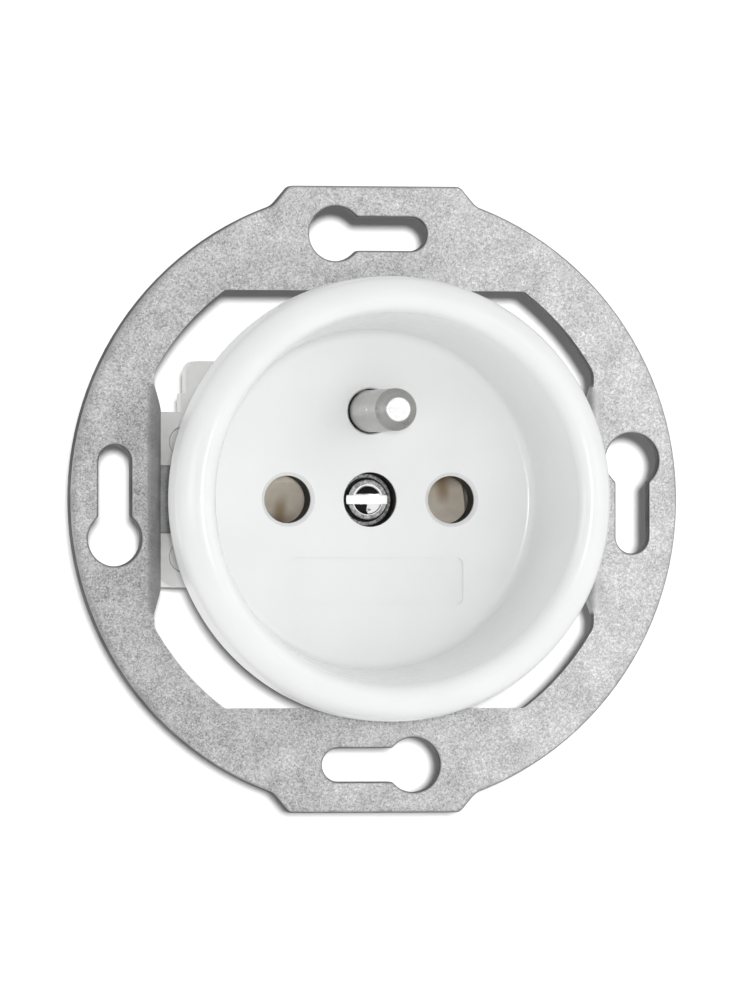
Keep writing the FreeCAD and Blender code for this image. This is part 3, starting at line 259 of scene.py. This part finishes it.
def porcelain():
    """White glaze: slightly wavy, with small pinholes, bare inside the holes and painted near-black
    there as shade.
    """
    b = Build("glazed_porcelain")
    depth = b.at("Y")
    waves = b.noise(7.0 * MM, detail=1.0)
    fine = b.noise(0.9 * MM)
    glaze = b.ramp(waves, (0.3, (0.872, 0.880, 0.877)), (0.7, (0.898, 0.905, 0.902)))
    pinholes = b.range(b.cells(2.6 * MM), 0.03, 0.07, 0.10, 0.0, smooth=True)
    glaze = b.mix(pinholes, glaze, (0.55, 0.54, 0.52))

    # bare clay with painted shade, near-black: on the right side in the contact holes, all round in
    # the holes of pin and screw
    wall_in = HOLE_R + 0.04 * MM
    wall_out = HOLE_R + 0.16 * MM
    contacts = b.math("MINIMUM", b.radius(-CONTACT_X, 0.0), b.radius(CONTACT_X, 0.0))
    right = b.times(b.minus(b.math("ABSOLUTE", b.at("X")), CONTACT_X), b.math("SIGN", b.at("X")))
    shaded = b.range(b.minus(right, b.times(b.at("Z"), 0.3)), -2.2 * MM, -0.8 * MM, smooth=True)
    in_contact = b.times(b.fade(contacts, wall_in, wall_out), shaded)
    in_pin = b.fade(b.radius(0.0, PIN_Z), wall_in, wall_out)
    in_hole = b.times(b.math("MAXIMUM", in_contact, in_pin),
                      b.range(depth, FLOOR_Y + 0.45 * MM, FLOOR_Y + 0.8 * MM))
    in_well = b.times(b.fade(b.radius(0.0, 0.0), WELL_R + 0.04 * MM, WELL_R + 0.12 * MM),
                      b.range(depth, FLOOR_Y + 0.25 * MM, FLOOR_Y + 0.5 * MM))
    bare_and_shaded = b.math("MAXIMUM", in_hole, in_well)
    clay_shade_colour = b.ramp(fine, (0.3, (0.004, 0.003, 0.002)), (0.7, (0.018, 0.013, 0.009)))

    b.set("Base Color", b.mix(bare_and_shaded, glaze, clay_shade_colour))
    b.set("Roughness", b.plus(b.range(fine, 0.3, 0.7, 0.20, 0.26), b.times(bare_and_shaded, 0.45)))
    b.set("Normal", b.bump(fine, 0.004 * MM, 0.6, b.bump(waves, 0.05 * MM, 0.5)))
    return b.material


def nickel():
    """Satin nickel of the pin, turned, with a polished top."""
    b = Build("satin_nickel")
    rings = b.noise(0.16 * MM, stretch=(0.02, 1, 0.02))
    marks = b.noise(1.1 * MM, detail=3.0)
    body = b.ramp(b.plus(b.times(rings, 0.6), b.times(marks, 0.4)),
                  (0.35, grey(0.37, (1.0, 0.99, 0.97))), (0.65, grey(0.47, (1.0, 0.99, 0.975))))
    top_r = 1.28 * MM
    top = b.times(b.fade(b.at("Y"), PIN_TIP_Y + 0.01 * MM, PIN_TIP_Y + 0.2 * MM),
                  b.fade(b.radius(0.0, PIN_Z), top_r, top_r + 0.06 * MM))
    polish = b.ramp(b.noise(0.4 * MM, detail=3.0), (0.35, grey(0.72)), (0.6, grey(0.86)))
    b.set("Base Color", b.mix(top, body, polish))
    b.set("Metallic", 1.0)
    b.set("Roughness", b.range(marks, 0.3, 0.7, 0.26, 0.36))
    b.set("Normal", b.bump(rings, 0.006 * MM, 0.6))
    return b.material


def screw_nickel():
    """Bright nickel of the cup screw and washer, with patchy roughness and painted reflections of a
    domed head, and painted shade round the head's edge.
    """
    b = Build("bright_nickel")
    patches = b.noise(0.8 * MM, detail=3.0, rough=0.6)
    scratches = b.noise(0.12 * MM, stretch=(0.15, 1, 1))
    from_axis = b.radius(0.0, 0.0)
    ragged = b.times(b.minus(patches, 0.5), 1.6 * MM)
    x = b.plus(b.at("X"), ragged)
    z = b.plus(b.at("Z"), b.times(ragged, 0.25))

    # turned ring round a polished middle; the bright middle and the dark marks above and below the
    # slot are painted reflections of a domed head
    middle_r = 1.70 * MM
    reflection_r = 1.60 * MM
    ring = b.ramp(b.noise(0.25 * MM), (0.35, grey(0.15)), (0.65, grey(0.40)))
    middle = b.fade(from_axis, middle_r, middle_r + 0.10 * MM)
    above = b.times(b.range(z, 0.58 * MM, 0.68 * MM),
                    b.fade(from_axis, reflection_r - 0.12 * MM, reflection_r))
    below = b.times(b.fade(z, -0.55 * MM, -0.47 * MM), b.fade(x, -0.1 * MM, 0.05 * MM))
    below = b.times(below, b.fade(from_axis, reflection_r, reflection_r + 0.10 * MM))
    line = b.times(b.inside(from_axis, reflection_r, reflection_r + 0.06 * MM, 0.05 * MM),
                   b.fade(z, -0.6 * MM, -0.45 * MM))
    dark_reflections = b.math("MAXIMUM", b.math("MAXIMUM", above, below), line)
    face = b.mix(middle, ring, b.mix(dark_reflections, grey(0.93), grey(0.015)))
    # painted shade: near-black ring round the head's edge
    head_edge_shade = b.inside(from_axis, SCREW_HEAD_R - 0.04 * MM, SCREW_HEAD_R + 0.12 * MM, 0.04 * MM)
    face = b.mix(head_edge_shade, face, grey(0.03))
    in_slot = b.times(b.range(b.at("Y"), SCREW_FACE_Y + 0.42 * MM, SCREW_FACE_Y + 0.46 * MM),
                      b.fade(from_axis, SCREW_HEAD_R - 0.04 * MM, SCREW_HEAD_R))

    b.set("Base Color", b.mix(in_slot, face, grey(0.90)))
    b.set("Metallic", 1.0)
    smoother = b.times(b.plus(b.times(middle, -0.26), b.times(dark_reflections, 0.3)),
                       b.minus(middle, in_slot, clamp=True))
    b.set("Roughness", b.plus(b.range(patches, 0.35, 0.6, 0.44, 0.40), smoother))
    b.set("Normal", b.bump(scratches, 0.004 * MM, 0.6))
    return b.material


def patchy_metal(name, patch_size, dark, light, rough, lines):
    """Small metal piece with tarnish in patches and the drawn or turned lines of its making."""
    b = Build(name)
    patches = b.noise(patch_size, detail=4.0, rough=0.6)
    b.set("Base Color", b.ramp(patches, (0.35, dark), light))
    b.set("Metallic", 1.0)
    b.set("Roughness", b.range(patches, 0.3, 0.7, *rough))
    size, stretch = lines
    b.set("Normal", b.bump(b.noise(size, stretch=stretch), 0.005 * MM, 0.6))
    return b.material


def spring_steel():
    """Drawn wire."""
    b = Build("drawn_wire")
    streaks = b.noise(0.3 * MM, detail=3.0)
    b.set("Base Color", b.ramp(streaks, (0.35, grey(0.42)), (0.65, grey(0.62))))
    b.set("Metallic", 1.0)
    b.set("Roughness", b.range(streaks, 0.3, 0.7, 0.25, 0.36))
    b.set("Normal", b.bump(streaks, 0.004 * MM, 0.6))
    return b.material


def white_plastic():
    """Moulded thermoset body: matt, faintly mottled, with flow marks."""
    b = Build("white_thermoset")
    mottle = b.noise(2.2 * MM, detail=4.0, rough=0.6)
    grain = b.noise(0.14 * MM, detail=3.0, rough=0.6)
    flow = b.noise(6.0 * MM, stretch=(0.3, 1, 1.6), distortion=0.8)
    tone = b.plus(b.times(mottle, 0.6), b.times(flow, 0.4))
    b.set("Base Color", b.ramp(tone, (0.35, (0.84, 0.835, 0.825)), (0.6, (0.92, 0.92, 0.91))))
    b.set("Roughness", b.range(mottle, 0.3, 0.7, 0.42, 0.56))
    b.set("Normal", b.bump(grain, 0.010 * MM, 0.8, b.bump(mottle, 0.012 * MM, 0.6)))
    return b.material


def beige_plastic():
    """Beige of the shutter and its plate, with the brown marks that plug pins rub on the shutter and
    painted shade at one end of each marked spot.
    """
    b = Build("beige_moulding")
    mottle = b.noise(1.6 * MM, detail=4.0, rough=0.6)
    grain = b.noise(0.12 * MM, detail=3.0)
    # both wings have the same marks, turned half a circle from each other
    way = b.math("SIGN", b.at("X"))
    out = b.times(b.at("X"), way)
    up = b.times(b.at("Z"), way)
    rub_x = b.plus(CONTACT_X, b.times(way, 0.7 * MM))
    rub = b.times(b.fade(b.math("ABSOLUTE", b.minus(out, rub_x)), 0.1 * MM, 1.1 * MM, smooth=True),
                  b.range(up, -0.9 * MM, 1.2 * MM, smooth=True))
    # painted shade: darker towards the bottom of the left hole and the top of the right one
    spot_shade = b.range(up, 0.9 * MM, 3.2 * MM, 0.0, 0.75, smooth=True)
    # only the spot of a wing that lies under its hole is marked, and not the plate behind
    from_hole = b.math("MINIMUM", b.radius(-CONTACT_X, 0.0), b.radius(CONTACT_X, 0.0))
    spot = b.times(b.fade(from_hole, 2.8 * MM, 3.8 * MM, smooth=True),
                   b.fade(b.at("Y"), PLATE_FRONT_Y - 0.2 * MM, PLATE_FRONT_Y - 0.1 * MM))
    tone = b.ramp(mottle, (0.35, (0.86, 0.775, 0.665)), (0.65, (0.95, 0.875, 0.765)))
    rubbed = b.mix(b.times(b.times(rub, spot), 0.85), tone, (0.48, 0.35, 0.20))
    b.set("Base Color", b.mix(b.times(spot_shade, spot), rubbed, (0.16, 0.11, 0.07)))
    b.set("Roughness", b.range(mottle, 0.3, 0.7, 0.38, 0.5))
    b.set("Normal", b.bump(grain, 0.008 * MM, 0.8))
    return b.material


MATERIALS = {
    "zinc_steel": zinc_steel(),
    "porcelain": porcelain(),
    "nickel": nickel(),
    "screw_nickel": screw_nickel(),
    "contact_brass": patchy_metal("stamped_brass", 1.8 * MM, (0.42, 0.29, 0.12),
                                  (0.6, (0.78, 0.60, 0.30)),
                                  (0.42, 0.28), (0.10 * MM, (1, 0.06, 1))),
    "white_plastic": white_plastic(),
    "beige_plastic": beige_plastic(),
    "spring_steel": spring_steel(),
    "terminal_steel": patchy_metal("plated_terminal", 0.9 * MM, grey(0.45, (1.0, 0.98, 0.94)),
                                   (0.62, grey(0.72, (1.0, 0.99, 0.95))),
                                   (0.40, 0.27), (0.09 * MM, (1, 1, 0.08))),
}
slot_of = {row["node"]: row["material_slot"] for row in frame["record"]["subparts"]}
for name, node in nodes.items():
    for place in node.material_slots:
        place.material = MATERIALS[slot_of[name]]
    for face in node.data.polygons:
        face.use_smooth = True


# Return spring

def winding_spring():
    """Copy of the spring in the part's place; the part itself is hidden."""
    node = nodes["shutter_spring"]
    spring = bpy.data.objects.new("winding_spring", node.data.copy())
    scene.collection.objects.link(spring)
    spring.matrix_world = node.matrix_world
    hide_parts("shutter_spring")
    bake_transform(spring)
    return spring


lit_things = [*nodes.values(), winding_spring()]


# Stage

WALL_Y = 24.5 * MM
WALL_TONE = 0.22
FLOOR_Z = -75.0 * MM
FLOOR_TONE = 0.6
REACH = 3.0


def stage_plane(name, corners, material):
    mesh = bpy.data.meshes.new(name)
    mesh.from_pydata(corners, [], [(0, 1, 2, 3)])
    mesh.materials.append(material)
    plane = bpy.data.objects.new(name, mesh)
    scene.collection.objects.link(plane)
    return plane


def matt_surface(name, tone):
    """Surface without any shine. A darker tone makes the shadows on it deeper."""
    b = Build(name)
    b.set("Base Color", (tone, tone, tone, 1.0))
    b.set("Roughness", 1.0)
    b.set("Specular IOR Level", 0.0)
    return b


def backdrop_material():
    """Wall that only the camera sees, and only from the front."""
    b = matt_surface("backdrop_white", WALL_TONE)
    light_path = b.add("ShaderNodeLightPath")
    geometry = b.add("ShaderNodeNewGeometry")
    front = b.minus(1.0, geometry.outputs["Backfacing"])
    seen = b.times(light_path.outputs["Is Camera Ray"], front)
    clear = b.add("ShaderNodeBsdfTransparent")
    blend = b.add("ShaderNodeMixShader")
    b.link(seen, blend.inputs[0])
    b.link(clear.outputs[0], blend.inputs[1])
    b.link(b.shader.outputs[0], blend.inputs[2])
    b.link(blend.outputs[0], b.output.inputs["Surface"])
    return b.material


backdrop = stage_plane("backdrop", [
    (-REACH, WALL_Y, FLOOR_Z), (REACH, WALL_Y, FLOOR_Z),
    (REACH, WALL_Y, REACH), (-REACH, WALL_Y, REACH),
], backdrop_material())
floor = stage_plane("floor", [
    (-REACH, -REACH, FLOOR_Z), (REACH, -REACH, FLOOR_Z),
    (REACH, REACH, FLOOR_Z), (-REACH, REACH, FLOOR_Z),
], matt_surface("floor_white", FLOOR_TONE).material)


# Lights

def direction(azimuth, elevation):
    """Way from the object to a place at these degrees: 0, 0 is in front."""
    a = math.radians(azimuth)
    e = math.radians(elevation)
    return Vector((math.sin(a) * math.cos(e), -math.cos(a) * math.cos(e), math.sin(e)))


def aimed(name, data, azimuth, elevation, distance):
    """Lamp or camera that looks at the object from there."""
    item = bpy.data.objects.new(name, data)
    scene.collection.objects.link(item)
    towards = direction(azimuth, elevation)
    item.location = AIM + towards * distance
    item.rotation_mode = "QUATERNION"
    item.rotation_quaternion = (-towards).to_track_quat("-Z", "Y")
    return item


def lit_only(lamp, things):
    """Let a lamp light these things alone."""
    group = bpy.data.collections.new("lit_by_" + lamp.name)
    for thing in things:
        group.objects.link(thing)
    lamp.light_linking.receiver_collection = group


def area_lamp(name, azimuth, elevation, distance, size, level):
    """Lamp that lights a white surface facing it at this distance to this level."""
    data = bpy.data.lights.new(name, "AREA")
    data.shape = "DISK"
    data.size = size
    data.energy = level * math.pi * math.pi * distance ** 2
    lit_only(aimed(name, data, azimuth, elevation, distance), lit_things)


def sun_lamp(name, azimuth, elevation, spread, level, surface, tone):
    """Sun that lifts a surface of this tone to this level."""
    data = bpy.data.lights.new(name, "SUN")
    data.energy = level * math.pi / tone
    data.angle = math.radians(spread)
    lit_only(aimed(name, data, azimuth, elevation, 1.0), [surface])


# the photo's flash stands a little to the right of the camera and above it
FLASH_AZIMUTH = CAMERA_AZIMUTH + 1.4
WALL_LEVEL = 1.0
FLOOR_LEVEL = 0.48
area_lamp("key", azimuth=40.0, elevation=5.0, distance=0.8, size=0.8, level=0.22)
area_lamp("flash", azimuth=FLASH_AZIMUTH, elevation=CAMERA_ELEVATION + 1.9,
          distance=1.4, size=0.06, level=0.20)
area_lamp("side_lamp", azimuth=-82.0, elevation=5.0, distance=0.8, size=0.5, level=0.18)
sun_lamp("wall_sun", azimuth=FLASH_AZIMUTH, elevation=CAMERA_ELEVATION + 1.7,
         spread=2.4, level=WALL_LEVEL, surface=backdrop, tone=WALL_TONE)
sun_lamp("floor_sun", azimuth=20.0, elevation=78.0,
         spread=22.0, level=FLOOR_LEVEL, surface=floor, tone=FLOOR_TONE)


# World

SKY_LEVEL = 0.74
SKY_UPRIGHT = 0.42
DIM_SIDE = Vector((-0.70, -0.71, 0.0)).normalized()
DIM_OUTER = 0.45
DIM_INNER = 0.93


def white_world():
    """Plain white to look at, as a light stronger above and below and dark in front on the left."""
    world = bpy.data.worlds.new("studio")
    world.use_nodes = True
    g = Graph(world.node_tree)
    rays = g.add("ShaderNodeLightPath").outputs
    shown = g.math("MAXIMUM", rays["Is Camera Ray"], rays["Is Glossy Ray"])
    shown = g.math("MAXIMUM", shown, rays["Is Transmission Ray"])
    compass = g.add("ShaderNodeTexCoord").outputs["Generated"]
    toward = g.add("ShaderNodeVectorMath")
    toward.operation = "DOT_PRODUCT"
    toward.inputs[1].default_value = DIM_SIDE
    g.link(compass, toward.inputs[0])
    around = g.range(toward.outputs["Value"], DIM_OUTER, DIM_INNER, SKY_LEVEL, 0.0)
    upright = g.times(g.math("ABSOLUTE", g.part_of(compass, "Z")), SKY_UPRIGHT)
    sky = g.add("ShaderNodeBackground")
    g.link(g.range(shown, 0.0, 1.0, g.plus(around, upright), 1.0), sky.inputs["Strength"])
    g.link(sky.outputs[0], g.add("ShaderNodeOutputWorld").inputs["Surface"])
    return world


scene.world = white_world()

# Camera
camera_data = bpy.data.cameras.new("camera")
camera_data.sensor_width = SENSOR
camera_data.lens = SENSOR * CAMERA_DISTANCE / VIEW_HEIGHT
camera_data.clip_start = 0.1
camera_data.clip_end = 20.0
scene.camera = aimed("camera", camera_data, CAMERA_AZIMUTH, CAMERA_ELEVATION, CAMERA_DISTANCE)
scene.view_settings.view_transform = "Standard"
